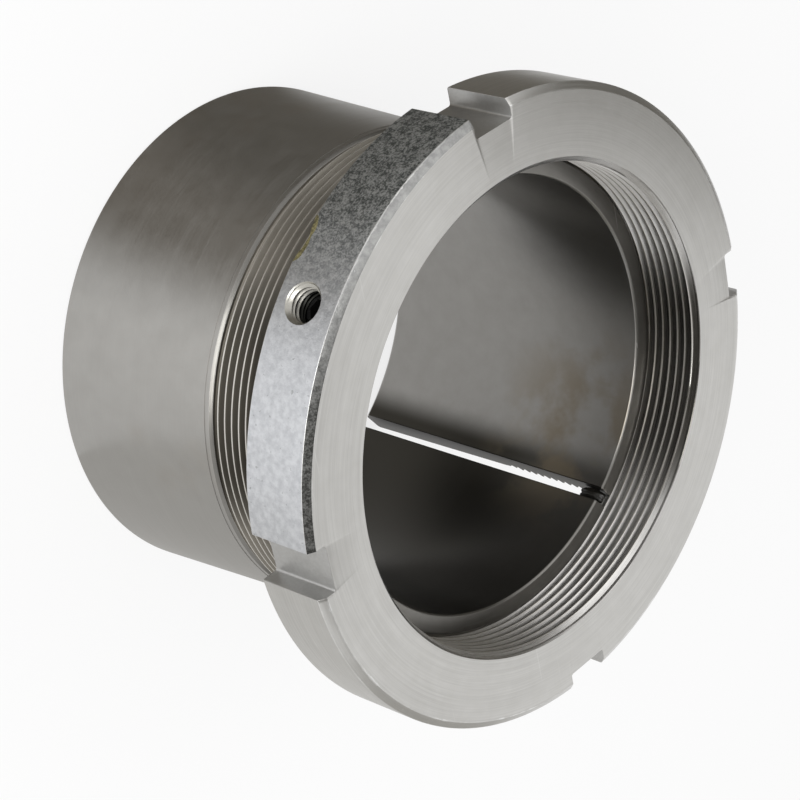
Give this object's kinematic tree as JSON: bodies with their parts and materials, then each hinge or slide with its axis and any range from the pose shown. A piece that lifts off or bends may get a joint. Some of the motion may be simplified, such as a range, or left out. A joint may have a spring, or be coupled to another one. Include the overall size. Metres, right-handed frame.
{
  "type": "bearing adapter sleeve",
  "caption": "Split tapered steel adapter sleeve with a plain bore, a threaded small end and a slotted lock nut part-way on it.",
  "frame": {"origin": "centre of the sleeve's large end, on the surface that the part stands on", "axes": "+Z along the sleeve's axis towards the threaded end and the nut; X and Y through the nut's spanner slots at rest"},
  "size_m": [0.1994, 0.1994, 0.1294],
  "materials": {
    "sleeve_steel": "fine ground and turned steel, satin",
    "nut_steel": "turned steel, satin, with a blasted patch on the rim",
    "screw_steel": "blackened steel",
    "pad_brass": "turned brass, dull"
  },
  "bodies": {
    "sleeve": {"adapter_sleeve": "sleeve_steel"},
    "nut": {"lock_nut": "nut_steel", "locking_pad": "pad_brass"},
    "screw": {"lock_screw": "screw_steel"}
  },
  "joints": [
    {"name": "nut_turn", "type": "hinge", "parent": "sleeve", "child": "nut", "pos_m": [0, 0, 0.1174], "axis": [0, 0, 1], "continuous": true},
    {"name": "screw_turn", "type": "hinge", "parent": "nut", "child": "screw", "pos_m": [-0.06622, 0.0653, 0.1157], "axis": [-0.712, 0.7022, 0], "continuous": true}
  ]
}
